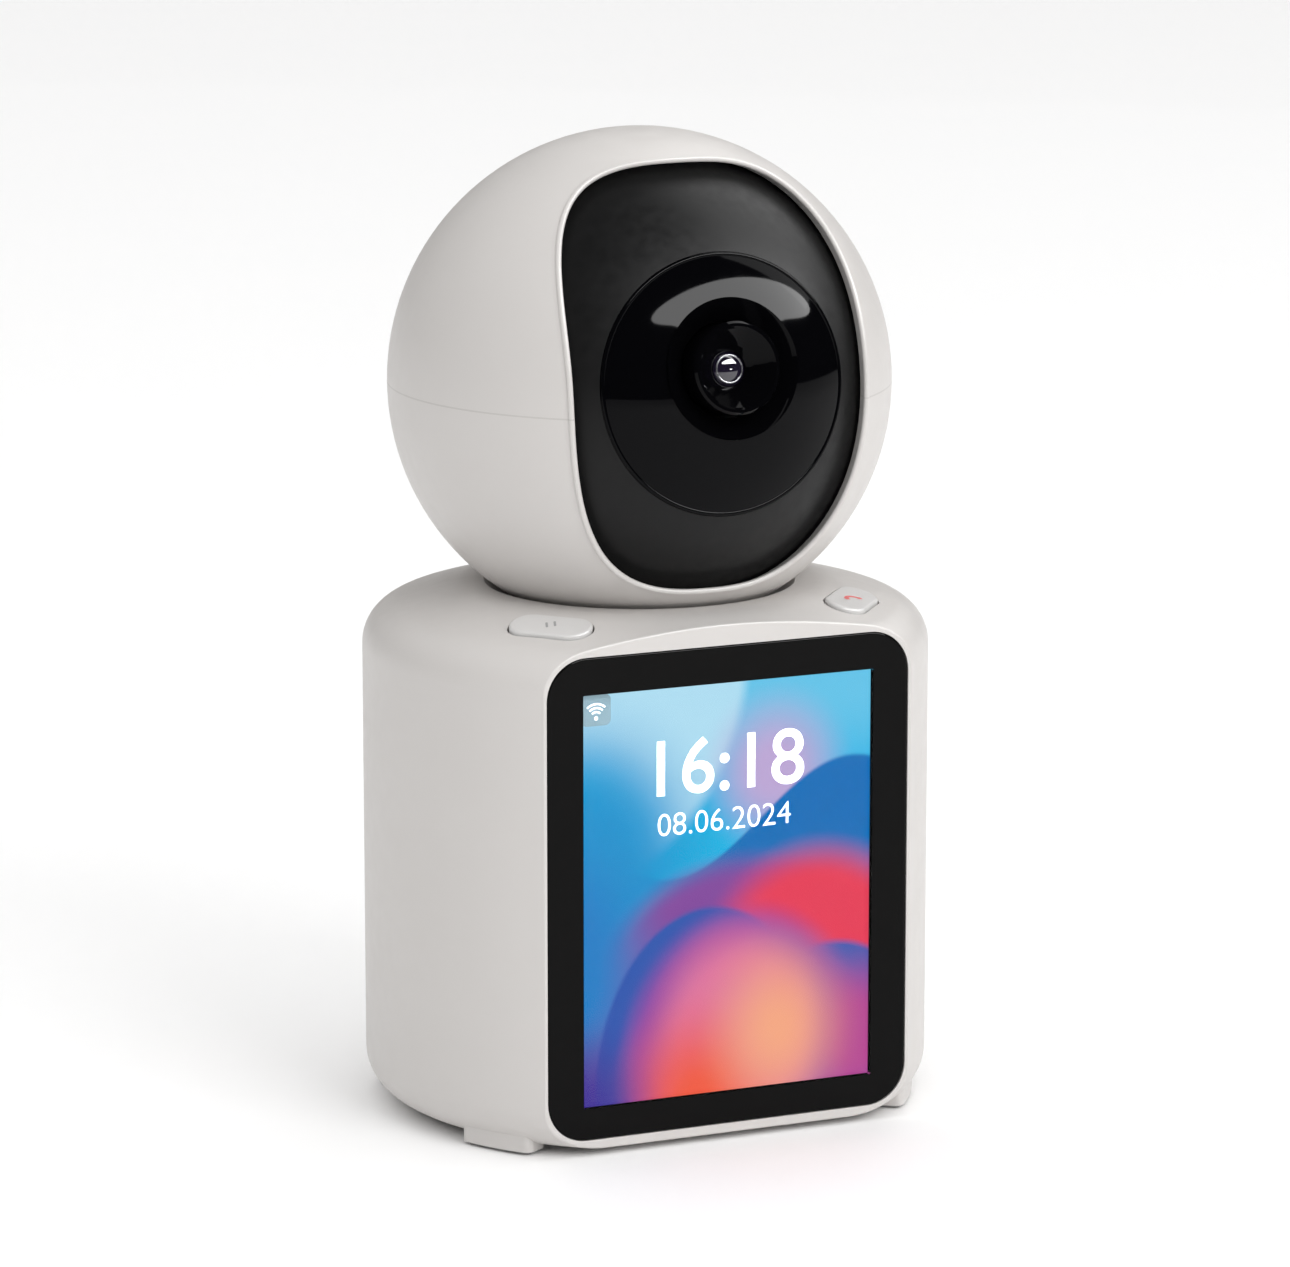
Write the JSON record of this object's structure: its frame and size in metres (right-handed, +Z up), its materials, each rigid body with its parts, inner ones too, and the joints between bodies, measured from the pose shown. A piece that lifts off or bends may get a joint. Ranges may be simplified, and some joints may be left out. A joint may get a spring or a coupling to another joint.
{
  "type": "smart display",
  "caption": "Video calling camera: a pan and tilt ball head with a slotted white shell and a black camera drum, on a D-section column with an upright touchscreen and top buttons.",
  "frame": {"origin": "middle of the outer box in X and Y, on the plane of the foot pads", "axes": "+Z up; the screen and the lens face -Y; +X is to the right of someone looking at the screen"},
  "size_m": [0.079, 0.0716, 0.1365],
  "materials": {
    "white_plastic": "fine satin moulded ABS, warm light grey white",
    "button_plastic": "satin ABS push buttons",
    "black_satin": "satin black moulded face",
    "black_gloss": "high gloss black window and lens parts",
    "screen_glass": "black-printed cover glass, polished",
    "screen_image": "lit screen image, emissive",
    "metal_sheet": "thin pressed steel",
    "screw_steel": "plated steel screws and pins",
    "board_green": "green solder mask",
    "board_black": "black solder mask and moulded component bodies",
    "acetal": "natural white acetal gears and bushes",
    "grey_plastic": "dark grey moulded inner parts",
    "flex_amber": "amber polyimide film",
    "rubber_black": "soft black rubber and foam",
    "cloth_black": "fine black acoustic cloth",
    "cone_paper": "speaker cone",
    "optical_glass": "coated lens glass",
    "led_clear": "clear LED lens on a white body",
    "motor_steel": "zinc-plated motor can",
    "usb_metal": "plated receptacle shell"
  },
  "bodies": {
    "base": {"base_plate": "white_plastic", "base_screws": "screw_steel", "board_components": "board_black", "board_screws": "screw_steel", "body_shell": "white_plastic", "bracket_screws": "screw_steel", "button_switches": "board_black", "cable_plug": "acetal", "card_socket": "metal_sheet", "display_adhesive": "rubber_black", "display_backlight": "metal_sheet", "display_bracket": "grey_plastic", "display_flex": "flex_amber", "display_panel": "screen_image", "display_screws": "screw_steel", "foot_pads": "rubber_black", "keypad_board": "board_green", "keypad_screws": "screw_steel", "main_board": "board_green", "motor_bracket": "metal_sheet", "motor_screws": "screw_steel", "neck_bush": "acetal", "neck_washer": "acetal", "pan_motor": "motor_steel", "reset_switch": "board_black", "screen_glass": "screen_glass", "shield_can": "metal_sheet", "speaker_cloth": "cloth_black", "speaker_cone": "cone_paper", "speaker_frame": "grey_plastic", "speaker_magnet": "motor_steel", "usb_c_receptacle": "usb_metal", "wifi_antenna": "board_black"},
    "pan_head": {"pan_gear": "acetal", "pan_gear_screws": "screw_steel", "head_upper_shell": "white_plastic", "head_lower_shell": "white_plastic", "head_screws": "screw_steel", "tilt_bushes": "acetal", "tilt_gear": "acetal", "head_cable": "rubber_black"},
    "camera_drum": {"face_shell": "black_satin", "tilt_pins": "screw_steel", "window_disc": "black_gloss", "lens_hood": "black_gloss", "lens_barrel": "black_gloss", "lens_elements": "optical_glass", "lens_holder": "board_black", "image_sensor": "optical_glass", "camera_board": "board_green", "camera_screws": "screw_steel", "led_board": "board_black", "window_leds": "led_clear", "tilt_motor": "motor_steel", "tilt_motor_screws": "screw_steel"},
    "pan_pinion_body": {"pan_pinion": "acetal"},
    "tilt_pinion_body": {"tilt_pinion": "acetal"},
    "call_button_body": {"call_button": "button_plastic"},
    "mute_button_body": {"mute_button": "button_plastic"},
    "reset_body": {"reset_plunger": "board_black"}
  },
  "joints": [
    {"name": "pan", "type": "hinge", "parent": "base", "child": "pan_head", "pos_m": [0, -0.0017, 0.1015], "axis": [0, 0, 1], "range_deg": [-177.5, 177.5]},
    {"name": "tilt", "type": "hinge", "parent": "pan_head", "child": "camera_drum", "pos_m": [0, -0.0017, 0.1015], "axis": [-1, 0, 0], "range_deg": [-41, 39]},
    {"name": "pan_pinion_spin", "type": "hinge", "parent": "base", "child": "pan_pinion_body", "pos_m": [-0.01805, -0.0017, 0.0587], "axis": [0, 0, 1], "range_deg": [-712, 712]},
    {"name": "tilt_pinion_spin", "type": "hinge", "parent": "camera_drum", "child": "tilt_pinion_body", "pos_m": [-0.0286, 0.00821, 0.09789], "axis": [-1, 0, 0], "range_deg": [-104, 104]},
    {"name": "call_button_press", "type": "slide", "parent": "base", "child": "call_button_body", "axis": [0, 0, -1], "range_m": [0, 0.00035], "stiffness_N_per_m": 1000, "springref_m": -0.0005},
    {"name": "mute_button_press", "type": "slide", "parent": "base", "child": "mute_button_body", "axis": [0, 0, -1], "range_m": [0, 0.00035], "stiffness_N_per_m": 1000, "springref_m": -0.0005},
    {"name": "reset_press", "type": "slide", "parent": "base", "child": "reset_body", "axis": [0, 0, 1], "range_m": [0, 0.00025], "stiffness_N_per_m": 1000, "springref_m": -0.0005}
  ],
  "couplings": [
    {"joint": "pan_pinion_spin", "follows": "pan", "ratio": -4},
    {"joint": "tilt_pinion_spin", "follows": "tilt", "ratio": 2.5}
  ]
}
